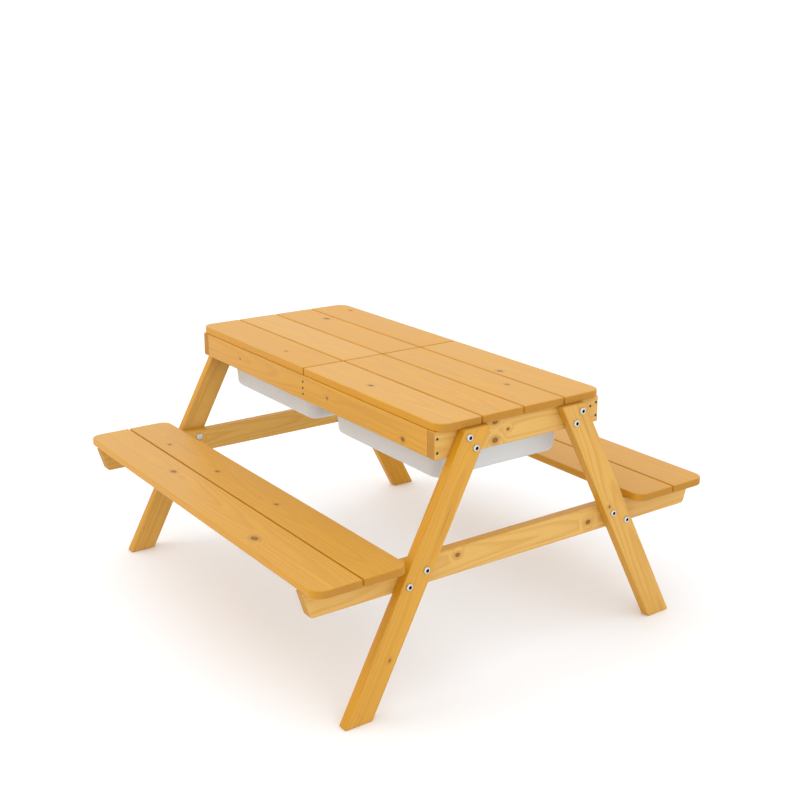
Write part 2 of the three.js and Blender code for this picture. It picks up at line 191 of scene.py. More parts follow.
def rounded_outline(corners, steps, closed=True):
    """Points and outward unit normals along a path of rounded corners [x, y, radius].

    The path runs anticlockwise round the solid. Each corner is an arc tangent to both its
    edges: its centre lies back along the incoming edge by radius times tan(half the turn)
    and in from it by the radius, and its normals sweep from one edge's to the next one's.
    A corner that turns clockwise takes the same arc with a negative radius.
    """
    corners = np.asarray(corners, float)
    at, radius = corners[:, :2], corners[:, 2]
    edge_in = at - np.roll(at, 1, 0)
    edge_out = np.roll(at, -1, 0) - at
    if not closed:
        edge_in[0] = edge_out[0]
        edge_out[-1] = edge_in[-1]
    edge_in = edge_in / np.linalg.norm(edge_in, axis=1, keepdims=True)
    edge_out = edge_out / np.linalg.norm(edge_out, axis=1, keepdims=True)
    normal_in = np.stack([edge_in[:, 1], -edge_in[:, 0]], 1)
    cross = edge_in[:, 0] * edge_out[:, 1] - edge_in[:, 1] * edge_out[:, 0]
    turn = np.arctan2(cross, (edge_in * edge_out).sum(1))
    signed = radius * np.where(turn < 0, -1.0, 1.0)
    reach = signed * np.tan(turn / 2)
    centre = at - edge_in * reach[:, None] - normal_in * signed[:, None]
    start = np.arctan2(normal_in[:, 1], normal_in[:, 0])
    angle = start[:, None] + turn[:, None] * np.linspace(0, 1, steps + 1)
    normals = np.stack([np.cos(angle), np.sin(angle)], -1)
    points = centre[:, None] + signed[:, None, None] * normals
    return points.reshape(-1, 2), normals.reshape(-1, 2)


def grid_faces(rings, around):
    """Quads between neighbouring rings of a grid that closes round, and a face on each end."""
    ring, step = np.meshgrid(np.arange(rings - 1), np.arange(around), indexing="ij")
    here = ring * around + step
    beside = ring * around + (step + 1) % around
    quads = np.stack([here, beside, beside + around, here + around], -1).reshape(-1, 4)
    first = list(range(around))
    last = list(range((rings - 1) * around, rings * around))
    return quads.tolist() + [first[::-1], last]


def make_piece(name, points, faces, material, normals=None, attributes=None):
    """A mesh object at the origin from world points, with smooth faces and point attributes."""
    mesh = bpy.data.meshes.new(name)
    mesh.from_pydata(points.tolist(), [], faces)
    mesh.update()
    for key, values in (attributes or {}).items():
        layer = mesh.attributes.new(key, "FLOAT_VECTOR", "POINT")
        layer.data.foreach_set("vector", np.asarray(values, np.float32).ravel())
    mesh.shade_smooth()
    if normals is not None:
        mesh.normals_split_custom_set_from_vertices(normals.tolist())
    mesh.materials.append(material)
    piece = bpy.data.objects.new(name, mesh)
    bpy.context.scene.collection.objects.link(piece)
    return piece


def stand_in(piece, node):
    """Lets a finished piece take a CAD node's place on its body, and hides the CAD node."""
    bodies = frame["record"]["behaviour"]["bodies"]
    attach(piece, next(body for body, nodes in bodies.items() if node in nodes))
    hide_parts(node)


def box_of(node):
    """A CAD node's lowest and highest corners as arrays."""
    low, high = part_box(node)
    return np.array(low), np.array(high)


def unit(vector):
    """The vector at length one."""
    vector = np.asarray(vector, float)
    return vector / np.linalg.norm(vector)


# ---- Boards --------------------------------------------------------------------------

# Knots of the boards where they are plain to see: [along, across, radius] in mm, measured
# from the middle of the board's face.
PLACED_KNOTS = {
    "rail_front": [(337, -12, 3.2), (89, 1, 2.2), (-259, 1, 1.8)],
    "rail_back": [(-120, 8, 2.6)],
    "end_board_right": [(-58, 20, 3.6), (-28, 1, 2.2), (-57, -14, 4.0)],
    "end_board_left": [(60, -12, 3.0)],
    "leg_front_right": [(-150, 9, 1.8)],
    "leg_back_right": [(30, -12, 2.0)],
    "stretcher_right": [(-137, 10, 3.2), (174, -4, 3.8)],
    "stretcher_left": [(151, -21, 2.6), (-220, 6, 3.0)],
    "divider": [(23, 17, 2.0)],
    "bench_front_outer_board": [(-162, 10, 4.2), (224, -18, 5.2)],
    "bench_front_inner_board": [(-318, -19, 3.0), (-112, -11, 3.2), (109, -2, 2.8)],
    "bench_back_inner_board": [(-60, 12, 4.2), (280, -16, 2.6)],
    "bench_back_outer_board": [(130, 8, 3.6)],
    "lid_left_board_3": [(-110, 25, 4.6)],
    "lid_left_board_1": [(90, -8, 2.6)],
    "lid_right_board_1": [(-44, -6, 3.6)],
    "lid_right_board_3": [(96, 16, 3.0)],
}
# Each cut of pine: the boards' material slot, roughness, stain of the palest and the deepest
# board (0 is the pale stain and 1 the deep one) and how plainly drying checks show.
PINE_CUTS = {
    "frame": ("frame_wood", 0.42, 0.05, 0.95, 0.4),
    "legs": ("leg_wood", 0.42, 0.15, 1.0, 0.6),
    "benches": ("seat_wood", 0.40, 0.6, 0.9, 0.15),
    "lids": ("lid_wood", 0.44, 0.5, 0.85, 0.15),
    "battens": ("batten_wood", 0.50, 0.8, 1.0, 0.4),
}
# Boards whose colour stands out: 0 is the palest and 1 the deepest of their cut. Most are the
# board's own stain; three are painted for light and shade, as marked.
PLACED_TONES = {
    "rail_front": 0.7,
    # Deepest partly as painted shade: its inner face lies in the shade inside the frame.
    "rail_back": 1.0,
    "end_board_left": 0.8,
    "end_board_right": 0.0,
    "divider": 0.8,
    # Painted light: paler to make up for the shade that the frame and bench cast on its inner face.
    "stretcher_left": 0.25,
    "stretcher_right": 0.0,
    # Painted light: paler to make up for the shade that the bench casts on it.
    "leg_front_left": 0.2,
    "leg_back_left": 0.9,
    "leg_front_right": 0.65,
    "leg_back_right": 0.2,
    "bench_front_outer_board": 0.1,
    "bench_front_inner_board": 0.45,
    "bench_back_inner_board": 0.9,
    "bench_back_outer_board": 0.7,
}
KNOTS_READ = 3  # knots that the pine material looks for on each board
FAR_AWAY = 100.0  # where a board keeps a knot that it doesn't have, in metres
KNOT_CHANCE = 0.55  # that a board without placed knots has one
KNOT_SPREAD = 0.4  # of the board's length and width, from its middle to a random knot
KNOT_SHARE = (0.03, 0.045)  # a random knot's radius as a share of the board's width
WIDEST = 90 * MM  # width that the knot's share counts at most
LOG_STRETCH = (2.0, 30.0)  # where along the log a board is cut, in metres
PITH_ACROSS = 0.35  # of the board's width, from its middle to the pith
PITH_THROUGH = (22 * MM, 60 * MM)  # from the board's middle to the pith, above or below it


def board_random(name):
    """A random source of the board's own, the same in every run."""
    seed = sum(ord(letter) * place for place, letter in enumerate(name, 7))
    return np.random.default_rng(seed)


def knots_of(name, long, wide):
    """A board's knots [along, across, radius] in metres: its placed ones, or one at random."""
    knots = np.full((KNOTS_READ, 3), (FAR_AWAY, 0.0, 3 * MM))
    if name in PLACED_KNOTS:
        placed = np.array(PLACED_KNOTS[name]) * MM
        knots[: len(placed)] = placed
        return knots
    source = board_random(name)
    if source.random() < KNOT_CHANCE:
        share = source.uniform(-KNOT_SPREAD, KNOT_SPREAD, 2)
        radius = source.uniform(*KNOT_SHARE) * min(wide, WIDEST)
        knots[0] = (share[0] * long, share[1] * wide, radius)
    return knots


def wood_attributes(name, points, normals, along, across):
    """What the pine material reads: the place in the log, the tone and the knots.

    grain is the point in the board's own frame (along, across, through), moved so that its
    origin is on the log's pith and no two boards share a stretch of log. tone holds the
    board's own shade in x, how squarely the surface cuts the fibres in y, and how much it
    faces out of the board's narrow edge in z. The shade in x is the board's stain, but for a
    few placed boards it is painted paler or deeper to stand in for light and shade. z drives
    the painted shade that makes the narrow edges deeper. knot_1 and on are the place on
    the face from each knot's middle, with its radius in z.
    """
    source = board_random(name)
    through = np.cross(along, across)
    local = points @ np.stack([along, across, through], 1)
    local = local - (local.min(0) + local.max(0)) / 2
    long, wide = np.ptp(local[:, 0]), np.ptp(local[:, 1])
    pith = np.array([
        source.uniform(*LOG_STRETCH),
        source.uniform(-PITH_ACROSS, PITH_ACROSS) * wide,
        source.uniform(*PITH_THROUGH) * source.choice([-1, 1]),
    ])
    tone = np.zeros_like(points)
    tone[:, 0] = PLACED_TONES.get(name, source.uniform(0.0, 1.0))
    tone[:, 1] = (normals @ along) ** 2
    # Drives the painted shade that makes the narrow edges deeper.
    tone[:, 2] = (normals @ across) ** 2
    attributes = {"grain": local + pith, "tone": tone}
    for number, (knot_along, knot_across, radius) in enumerate(knots_of(name, long, wide), 1):
        place = local.copy()
        place[:, 0] -= knot_along
        place[:, 1] -= knot_across
        place[:, 2] = radius
        attributes[f"knot_{number}"] = place
    return attributes


def board_surface(corners, low, high, ease, steps, plane):
    """Points, normals and faces of a board with an outline, a thickness and eased edges.

    The surface is a grid: the outline times a half-round profile. At profile angle a from
    -90 to 90 degrees the outline is drawn in along its normals by ease times (1 - cos a)
    and stands at the face plus or minus ease times (1 + or - sin a), so a straight side
    joins two quarter rounds. plane holds the two axes of the outline; the third is through.
    """
    outline, outward = rounded_outline(corners, steps)
    quarter = np.linspace(0, math.pi / 2, 4)
    angle = np.concatenate([quarter - math.pi / 2, quarter])
    sine = np.sin(angle)
    level = np.append(low + ease * (1 + sine[:4]), high - ease * (1 - sine[4:]))
    inset = ease * (1 - np.cos(angle))
    through = 3 - sum(plane)
    points = np.zeros((len(angle), len(outline), 3))
    normals = np.zeros_like(points)
    points[:, :, list(plane)] = outline - outward * inset[:, None, None]
    points[:, :, through] = level[:, None]
    normals[:, :, list(plane)] = outward * np.cos(angle)[:, None, None]
    normals[:, :, through] = sine[:, None]
    faces = grid_faces(len(angle), len(outline))
    if (plane[1] - plane[0]) % 3 != 1:
        faces = [face[::-1] for face in faces]
    return points.reshape(-1, 3), normals.reshape(-1, 3), faces


def make_board(node, corners, plane, ease, along, cut):
    """A pine board in a CAD node's place: its outline in a plane, its thickness from the box."""
    low, high = box_of(node)
    through = 3 - sum(plane)
    settings = bpy.context.scene.table.boards
    points, normals, faces = board_surface(
        corners, low[through], high[through], ease, settings.arc_steps, plane
    )
    along = unit(along)
    across = unit(np.cross(np.eye(3)[through], along))
    across = across * np.sign(across[np.argmax(np.abs(across))])
    attributes = wood_attributes(node, points, normals, along, across)
    material = bpy.data.materials[f"stained pine, {cut}"]
    piece = make_piece(f"pine_{node}", points, faces, material, normals, attributes)
    stand_in(piece, node)


def make_square_board(node, plane, cut, radii=None):
    """A board whose outline is its CAD box, with the grain along its longer side.

    radii are those of its corners in the plane, anticlockwise from the lowest.
    """
    settings = bpy.context.scene.table.boards
    ends = np.array(box_of(node))[:, list(plane)]
    span = ends[1] - ends[0]
    along = np.eye(3)[plane[0] if span[0] >= span[1] else plane[1]]
    ease = settings.batten_ease if cut == "battens" else settings.ease
    radii = radii or [max(settings.corner, ease * 1.05)] * 4
    places = ((0, 0), (1, 0), (1, 1), (0, 1))
    corners = [(ends[x, 0], ends[y, 1], radius) for (x, y), radius in zip(places, radii)]
    make_board(node, corners, plane, ease, along, cut)


# ---- Materials -----------------------------------------------------------------------


def linear(hex_colour):
    """An sRGB hex colour as linear RGBA."""
    channels = [int(hex_colour[place : place + 2], 16) / 255 for place in (1, 3, 5)]
    return [c / 12.92 if c <= 0.04045 else ((c + 0.055) / 1.055) ** 2.4 for c in channels] + [1.0]


def fill(node, inputs):
    """Gives each input, by name or number, a link when it is given a socket and else a value."""
    pairs = inputs.items() if isinstance(inputs, dict) else enumerate(inputs)
    for key, source in pairs:
        if isinstance(source, bpy.types.NodeSocket):
            node.id_data.links.new(source, node.inputs[key])
        else:
            node.inputs[key].default_value = source


def add_node(tree, kind, inputs=(), output=0, **settings):
    """Adds a node with its settings and links, and gives back one of its outputs."""
    node = tree.nodes.new(f"ShaderNode{kind}")
    for key, value in settings.items():
        setattr(node, key, value)
    fill(node, inputs)
    return node.outputs[output]


def new_material(name):
    """add_node bound to a new material, and the material's shader node."""
    material = bpy.data.materials.new(name)
    material.use_nodes = True
    tree = material.node_tree
    tree.nodes.clear()
    shader = tree.nodes.new("ShaderNodeBsdfPrincipled")
    end = tree.nodes.new("ShaderNodeOutputMaterial")
    fill(end, {"Surface": shader.outputs["BSDF"]})
    return partial(add_node, tree), shader


def pine(name, finishes, rough, palest, deepest, checks):
    """Honey-stained pine, planed, sanded and oiled.

    Real growth rings, cut wherever the board's surface meets them: pale early wood, a dark
    narrow late-wood line at the outside of each ring, long arches on the faces and arcs on
    the ends. The stain sinks deeper into end grain and soft patches, knots stay dark with
    the rings bending round them, fine drying checks run along the grain, and the oil leaves
    a soft, slightly uneven sheen.
    """
    add, shader = new_material(name)
    pale, deep, late = linear(finishes.pale), linear(finishes.deep), linear(finishes.late)
    soaked, knot, bark = linear(finishes.soaked), linear(finishes.knot), linear(finishes.bark)
    smooth = {"interpolation_type": "SMOOTHERSTEP"}

    grain = add("Attribute", output="Vector", attribute_name="grain")
    tone = add("Attribute", output="Vector", attribute_name="tone")
    shade = add("SeparateXYZ", [tone], 0)
    end_cut = add("SeparateXYZ", [tone], 1)
    # How far the surface faces across the board: drives the painted shade on narrow edges.
    edge = add("SeparateXYZ", [tone], 2)

    # How the wood varies: times per metre along the board and across it, detail, roughness.
    # Fibres are 1.6 mm wide, coarser than they are so that they show. Patches of softer wood
    # are some 40 mm wide and 200 mm long.
    varies = {}
    for kind, lengthwise, crosswise, detail, roughness in (
        ("years", 0.7, 38.0, 1.0, 0.5),
        ("fibre", 9.0, 620.0, 3.0, 0.6),
        ("patch", 5.0, 26.0, 3.0, 0.55),
        ("dry", 7.0, 50.0, 0.0, 0.5),
    ):
        scale = (lengthwise, crosswise, crosswise)
        place = add("VectorMath", [grain, scale], operation="MULTIPLY")
        inputs = {"Vector": place, "Scale": 1.0, "Detail": detail, "Roughness": roughness}
        varies[kind] = add("TexNoise", inputs)
    fibre, patch = varies["fibre"], varies["patch"]

    # The log isn't straight: its rings wander by about 8 mm over half a metre.
    place = add("VectorMath", [grain, (1.8, 9.0, 9.0)], operation="MULTIPLY")
    wander = add("TexNoise", {"Vector": place, "Scale": 1.0, "Roughness": 0.45}, "Color")
    wander = add("VectorMath", [wander, (0.5, 0.5, 0.5)], operation="SUBTRACT")
    bent = add("VectorMath", [wander, (0.0, 0.034, 0.030), grain], operation="MULTIPLY_ADD")
    from_pith = add("VectorMath", [bent, (0.0, 1.0, 1.0)], operation="MULTIPLY")
    from_pith = add("VectorMath", [from_pith], "Value", operation="LENGTH")
    along = add("SeparateXYZ", [bent], 0)
    radius = add("Math", [along, 0.014, from_pith], operation="MULTIPLY_ADD")

    # How many knot radii the nearest knot is away, counted longer along the board. The
    # rings are pushed aside by 1.8 radii at a knot and settle 6 radii from it.
    nearest = FAR_AWAY / MM
    for number in range(1, KNOTS_READ + 1):
        place = add("Attribute", output="Vector", attribute_name=f"knot_{number}")
        size = add("SeparateXYZ", [place], 2)
        away = add("VectorMath", [place, (0.72, 1.0, 0.0)], operation="MULTIPLY")
        away = add("VectorMath", [away], "Value", operation="LENGTH")
        away = add("Math", [away, size], operation="DIVIDE")
        push = add("MapRange", [away, 0.6, 6.0, 1.8, 0.0], **smooth)
        radius = add("Math", [push, size, radius], operation="MULTIPLY_ADD")
        nearest = add("Math", [nearest, away], operation="MINIMUM")

    # Rings about 4.5 mm apart, uneven from year to year, dark towards their outside.
    ring = add("Math", [radius, 1 / (4.5 * MM)], operation="MULTIPLY")
    ring = add("Math", [varies["years"], 0.9, ring], operation="MULTIPLY_ADD")
    ring = add("Math", [ring], operation="FRACT")
    dark = add("MapRange", [ring, 0.30, 0.86, 0.0, 1.0], **smooth)
    after = add("MapRange", [ring, 0.88, 1.0, 1.0, 0.0], **smooth)
    late_wood = add("Math", [dark, after], operation="MULTIPLY")

    # Drying checks: hairlines along the grain, drawn about 0.8 mm wide, 18 mm apart where
    # there are any, and broken into stretches of 40 to 100 mm.
    line = add("VectorMath", [bent, (0.0, 55.0, 55.0)], "Value", operation="DOT_PRODUCT")
    line = add("Math", [line], operation="FRACT")
    line = add("Math", [line, 0.5, 0.022], operation="COMPARE")
    dry = add("MapRange", [varies["dry"], 0.64, 0.74, 0.0, checks], **smooth)
    check = add("Math", [line, dry], operation="MULTIPLY")

    # The colour is deeper on the sawn narrow edges than on the planed faces: painted shade that
    # stands in for the sheen which pales the faces and not the edges. The stain also sinks
    # into the fibres, the softer patches and most of all the ends.
    share = add("Math", [shade, deepest - palest, palest], operation="MULTIPLY_ADD")
    # Painted shade: the narrow edges take the deeper stain.
    share = add("Math", [edge, 0.6, share], operation="MULTIPLY_ADD", use_clamp=True)
    strength = add("Math", [patch, 0.45, 0.06], operation="MULTIPLY_ADD")
    strength = add("Math", [late_wood, strength], operation="MULTIPLY")
    sunk = add("MapRange", [fibre, 0.25, 0.75, 0.20, 0.0])
    softer = add("MapRange", [patch, 0.25, 0.70, 0.16, 0.0])
    sunk = add("Math", [sunk, softer], operation="ADD")
    sunk = add("Math", [end_cut, 0.6, sunk], operation="MULTIPLY_ADD")

    # A knot: bark rim, browner heart with rings of its own, and a warm halo.
    halo = add("MapRange", [nearest, 1.0, 3.2, 0.5, 0.0], **smooth)
    rings = add("Math", [nearest, 2.6], operation="MULTIPLY")
    rings = add("Math", [rings], operation="FRACT")
    rim = add("MapRange", [nearest, 0.62, 0.95, 0.0, 1.0], **smooth)
    inside = add("MapRange", [nearest, 0.92, 1.22, 1.0, 0.0], **smooth)

    # Each colour is laid over the ones before it by its own share.
    heart = knot
    for cover, above in ((rings, soaked), (rim, bark)):
        heart = add("Mix", {0: cover, 6: heart, 7: above}, 2, data_type="RGBA")
    wood = pale
    for cover, above in (
        (share, deep),
        (strength, late),
        (sunk, soaked),
        (halo, soaked),
        (inside, heart),
        (check, bark),
    ):
        wood = add("Mix", {0: cover, 6: wood, 7: above}, 2, data_type="RGBA")

    gloss = add("Math", [patch, 0.16, rough - 0.08], operation="MULTIPLY_ADD")
    gloss = add("Math", [late_wood, -0.05, gloss], operation="MULTIPLY_ADD")
    gloss = add("Math", [end_cut, 0.18, gloss], operation="MULTIPLY_ADD")
    height = add("Math", [late_wood, 0.5], operation="MULTIPLY")
    height = add("Math", [fibre, 0.6, height], operation="MULTIPLY_ADD")
    height = add("Math", [check, -1.5, height], operation="MULTIPLY_ADD")
    bump = add("Bump", {"Height": height, "Strength": 0.35, "Distance": 0.35 * MM})
    fill(shader, {
        "Base Color": wood,
        "Roughness": gloss,
        "Normal": bump,
        "IOR": 1.5,
        "Specular IOR Level": 0.22,
        "Coat Weight": 0.02,
        "Coat Roughness": 0.32,
    })


def polypropylene(name, hex_colour):
    """Injection-moulded polypropylene with a fine spark-eroded matte.

    Waxy, slightly see-through at its thin edges, with soft wide highlights; the mould's
    grit of about 0.6 mm is drawn at 1.5 mm so that it shows.
    """
    add, shader = new_material(name)
    place = add("TexCoord", output="Object")
    grit = add("TexNoise", {"Vector": place, "Scale": 1 / (1.5 * MM), "Detail": 2.0})
    flow = add("TexNoise", {"Vector": place, "Scale": 14.0, "Detail": 3.0})
    fill(shader, {
        "Base Color": linear(hex_colour),
        "Roughness": add("MapRange", [flow, 0.3, 0.7, 0.38, 0.48]),
        "Normal": add("Bump", {"Height": grit, "Strength": 0.25, "Distance": 0.15 * MM}),
        "IOR": 1.49,
        "Subsurface Weight": 0.12,
        "Subsurface Radius": (0.004, 0.004, 0.004),
    })


def zinc_plate(name, zinc, painted_socket_shade):
    """Bright zinc plate on turned steel: clean, cool and a little cloudy, with painted shade in its
    socket.
    """
    add, shader = new_material(name)
    place = add("TexCoord", output="Object")
    cloud = add("TexNoise", {"Vector": place, "Scale": 260.0, "Detail": 3.0})
    # Painted shade: the socket's rings take the dark colour.
    depth = add("Attribute", output="Vector", attribute_name="painted_socket_shade")
    depth = add("SeparateXYZ", [depth])
    steel = {0: depth, 6: linear(zinc), 7: linear(painted_socket_shade)}
    steel = add("Mix", steel, 2, data_type="RGBA")
    fill(shader, {
        "Base Color": steel,
        "Roughness": add("MapRange", [cloud, 0.3, 0.7, 0.2, 0.34]),
        "Metallic": 1.0,
    })


def screw_steel_with_painted_shade(name, hex_colour):
    """Dark steel of a wood screw, dull in the grain's shadow and cloudy with wax. Its dark colour
    is partly the steel's own and partly painted shade, standing in for the countersunk hole round
    the head.
    """
    add, shader = new_material(name)
    place = add("TexCoord", output="Object")
    wax = add("TexNoise", {"Vector": place, "Scale": 400.0})
    fill(shader, {
        "Base Color": linear(hex_colour),
        "Metallic": 0.2,
        "Roughness": add("MapRange", [wax, 0.3, 0.7, 0.45, 0.65]),
    })


def studio_floor(name, hex_colour):
    """Matte painted studio floor."""
    _, shader = new_material(name)
    fill(shader, {
        "Base Color": linear(hex_colour),
        "Roughness": 0.9,
        "Specular IOR Level": 0.1,
    })


# ---- Operators -----------------------------------------------------------------------


class TABLE_OT_finishes(Operator):
    """Make the materials: five cuts of pine, polypropylene, zinc, steel and paint"""

    bl_idname = "table.finishes"
    bl_label = "Finishes"

    def execute(self, context):
        wanted = context.scene.table.finishes
        for cut, (_, rough, palest, deepest, checks) in PINE_CUTS.items():
            pine(f"stained pine, {cut}", wanted, rough, palest, deepest, checks)
        polypropylene("moulded polypropylene", wanted.bin)
        zinc_plate("bright zinc plate", wanted.zinc, wanted.painted_socket_shade)
        screw_steel_with_painted_shade("dark steel with painted hole shade", wanted.screw)
        studio_floor("studio floor paint", wanted.floor)
        return {"FINISHED"}


class TABLE_OT_frame(Operator):
    """Make the rails, end boards and divider"""

    bl_idname = "table.frame"
    bl_label = "Frame boards"

    def execute(self, context):
        for face in FACES:
            make_square_board(f"rail_{face}", (0, 2), "frame")
        for node in ("end_board_left", "end_board_right", "divider"):
            make_square_board(node, (1, 2), "frame")
        return {"FINISHED"}


class TABLE_OT_ledges(Operator):
    """Make the ledges that carry the bins"""

    bl_idname = "table.ledges"
    bl_label = "Ledges"

    def execute(self, context):
        for side in SIDES:
            for face in FACES:
                make_square_board(f"ledge_{face}_{side}", (0, 2), "battens")
            for place in ("end", "divider"):
                make_square_board(f"ledge_{place}_{side}", (1, 2), "battens")
        return {"FINISHED"}


def leg_slope(length_y, height, width):
    """How far a leg moves in per metre of height.

    The box's width is the slope times the height plus the level span of the board, which
    is its width times the root of one plus the slope squared; squaring gives a quadratic.
    """
    a = height**2 - width**2
    b = -2 * length_y * height
    c = length_y**2 - width**2
    return (-b - math.sqrt(b**2 - 4 * a * c)) / (2 * a)


class TABLE_OT_legs(Operator):
    """Make the four splayed legs, cut level at the floor and at the top"""

    bl_idname = "table.legs"
    bl_label = "Legs"

    def execute(self, context):
        settings = context.scene.table.boards
        for face in FACES:
            way = -1 if face == "front" else 1
            for side in SIDES:
                node = f"leg_{face}_{side}"
                low, high = box_of(node)
                height = high[2] - low[2]
                slope = leg_slope(high[1] - low[1], height, settings.leg_width)
                span = settings.leg_width * math.hypot(1, slope)
                foot = high[1] if way > 0 else -low[1]
                top = foot - slope * height
                corners = [
                    (foot - span, low[2], settings.leg_foot_corner),
                    (foot, low[2], settings.corner),
                    (top, high[2], settings.corner),
                    (top - span, high[2], settings.corner),
                ]
                if way < 0:
                    corners = [(-y, z, radius) for y, z, radius in corners][::-1]
                along = (0, -way * slope, 1)
                make_board(node, corners, (1, 2), settings.ease, along, "legs")
        return {"FINISHED"}


class TABLE_OT_stretchers(Operator):
    """Make the two stretchers with their sloping ends"""

    bl_idname = "table.stretchers"
    bl_label = "Stretchers"

    def execute(self, context):
        settings = context.scene.table.boards
        for side in SIDES:
            node = f"stretcher_{side}"
            low, high = box_of(node)
            corners = [
                (low[1] + settings.stretcher_slope, low[2], settings.stretcher_toe),
                (high[1] - settings.stretcher_slope, low[2], settings.stretcher_toe),
                (high[1], high[2], settings.corner),
                (low[1], high[2], settings.corner),
            ]
            make_board(node, corners, (1, 2), settings.ease, (0, 1, 0), "frame")
        return {"FINISHED"}


class TABLE_OT_benches(Operator):
    """Make the bench boards, rounded at a bench's corners, and the battens under them"""

    bl_idname = "table.benches"
    bl_label = "Benches"

    def execute(self, context):
        settings = context.scene.table.boards
        seam = max(settings.corner, settings.ease * 1.05)
        rounding = {"outer": settings.bench_outer_corner, "inner": settings.bench_inner_corner}
        for face in FACES:
            for part, radius in rounding.items():
                at_low = (face == "front") == (part == "outer")
                radii = [radius, radius, seam, seam] if at_low else [seam, seam, radius, radius]
                node = f"bench_{face}_{part}_board"
                make_square_board(node, (0, 1), "benches", radii)
            make_square_board(f"bench_{face}_batten", (0, 1), "battens")
        return {"FINISHED"}


LID_BOARDS = 4  # of each lid, numbered from the front


class TABLE_OT_lids(Operator):
    """Make the lids' boards, rounded at the table top's corners, and their battens"""

    bl_idname = "table.lids"
    bl_label = "Lids"

    def execute(self, context):
        settings = context.scene.table.boards
        seam = max(settings.corner, settings.ease * 1.05)
        for side in SIDES:
            outer_low, outer_high = (0, 3) if side == "left" else (1, 2)
            for number in range(1, LID_BOARDS + 1):
                radii = [seam] * 4
                if number == 1:
                    radii[outer_low] = settings.lid_corner
                if number == LID_BOARDS:
                    radii[outer_high] = settings.lid_corner
                make_square_board(f"lid_{side}_board_{number}", (0, 1), "lids", radii)
            for part in ("inner", "outer"):
                make_square_board(f"lid_{side}_batten_{part}", (0, 1), "battens")
        return {"FINISHED"}


BIN_ARC_STEPS = 6  # facets of each fold; the upright corners take twice as many
FLOOR_SEAM = 0.55  # of the tray's half width, from its wall in to the floor's last ring


def bin_surface(low, high, sizes):
    """Points and faces of a moulded bin, closed, with a wall of even thickness.

    A profile in (outward, up) runs from under the floor, up the leaning wall, out under the
    flange, down and round the lip, over the flange and down inside to the floor, with every
    fold an arc. It is carried round a rounded rectangle: the half sizes grow by the outward
    measure, and the corner radius passes from the body's to the flange's along the flange.
    """
    depth = high[2] - low[2]
    wall, lip, fold, toe = sizes.wall, sizes.lip, sizes.fold, sizes.toe
    under = depth - wall
    lean = sizes.taper
    inner_fold = fold - wall * 0.6
    lip_edge = wall * 0.3
    reach = min(np.ptp([low[:2], high[:2]], axis=0)) / 2 - sizes.flange
    seam = -reach * FLOOR_SEAM
    corners = [
        (seam, 0, 0),
        (-lean, 0, toe),
        (0, under, fold),
        (sizes.flange - wall, under, inner_fold),
        (sizes.flange - wall, depth - lip, lip_edge),
        (sizes.flange, depth - lip, lip_edge),
        (sizes.flange, depth, fold),
        (-wall, depth, fold),
        (-lean - wall, wall, toe - wall),
        (seam, wall, 0),
    ]
    profile, _ = rounded_outline(corners, BIN_ARC_STEPS, closed=False)
    apart = np.linalg.norm(np.diff(profile, axis=0), axis=1) > 0.001 * MM
    profile = profile[np.append(True, apart)]
    outward, up = profile[:, 0], profile[:, 1]
    half = (high[:2] - low[:2]) / 2 - sizes.flange
    centre = (high[:2] + low[:2]) / 2
    share = np.clip(outward / sizes.flange, 0, 1)
    radius = sizes.body_corner + (sizes.flange_corner - sizes.body_corner) * share
    radius = np.maximum(radius + np.minimum(outward, 0), sizes.body_corner * 0.1)
    quarter = np.linspace(0, math.pi / 2, BIN_ARC_STEPS * 2 + 1)
    turn = (np.arange(4)[:, None] * math.pi / 2 + quarter).ravel()
    sign = np.repeat([(1, 1), (-1, 1), (-1, -1), (1, -1)], len(quarter), axis=0)
    direction = np.stack([np.cos(turn), np.sin(turn)], 1)
    reach_out = half + outward[:, None] - radius[:, None]
    plan = centre + sign[None] * reach_out[:, None] + direction[None] * radius[:, None, None]
    height = np.broadcast_to(low[2] + up[:, None, None], plan.shape[:2] + (1,))
    points = np.concatenate([plan, height], 2)
    return points.reshape(-1, 3), grid_faces(len(profile), len(turn))


class TABLE_OT_bins(Operator):
    """Make the two moulded bins with their flanges and turned-down lips"""

    bl_idname = "table.bins"
    bl_label = "Bins"

    def execute(self, context):
        material = bpy.data.materials["moulded polypropylene"]
        for side in SIDES:
            node = f"bin_{side}"
            low, high = box_of(node)
            points, faces = bin_surface(low, high, context.scene.table.bins)
            piece = make_piece(f"moulded_{node}", points, faces, material)
            stand_in(piece, node)
        return {"FINISHED"}


def turned_surface(profile, six_sided, around):
    """Points and faces of a turned piece about +X, some of whose rings are hexagons.

    A point at turn t on a ring of radius r lies at r times (cos t, sin t); on a hexagonal
    ring r is the flat's distance over the cosine of the turn from the nearest flat.
    """
    turn = np.arange(around) * 2 * math.pi / around
    from_flat = (turn + math.pi / 6) % (math.pi / 3) - math.pi / 6
    flats = 1 / np.cos(from_flat)
    profile = np.asarray(profile, float)
    shape = np.where(np.asarray(six_sided)[:, None], flats[None], 1.0)
    radius = profile[:, 1, None] * shape
    height = np.broadcast_to(profile[:, 0, None], radius.shape)
    points = np.stack([height, radius * np.cos(turn), radius * np.sin(turn)], -1)
    return points.reshape(-1, 3), grid_faces(len(profile), around)


BOLT_FACETS = 48  # round a bolt
SOCKET_STOPS = 3  # last stops of a bolt's profile, which lie inside its socket


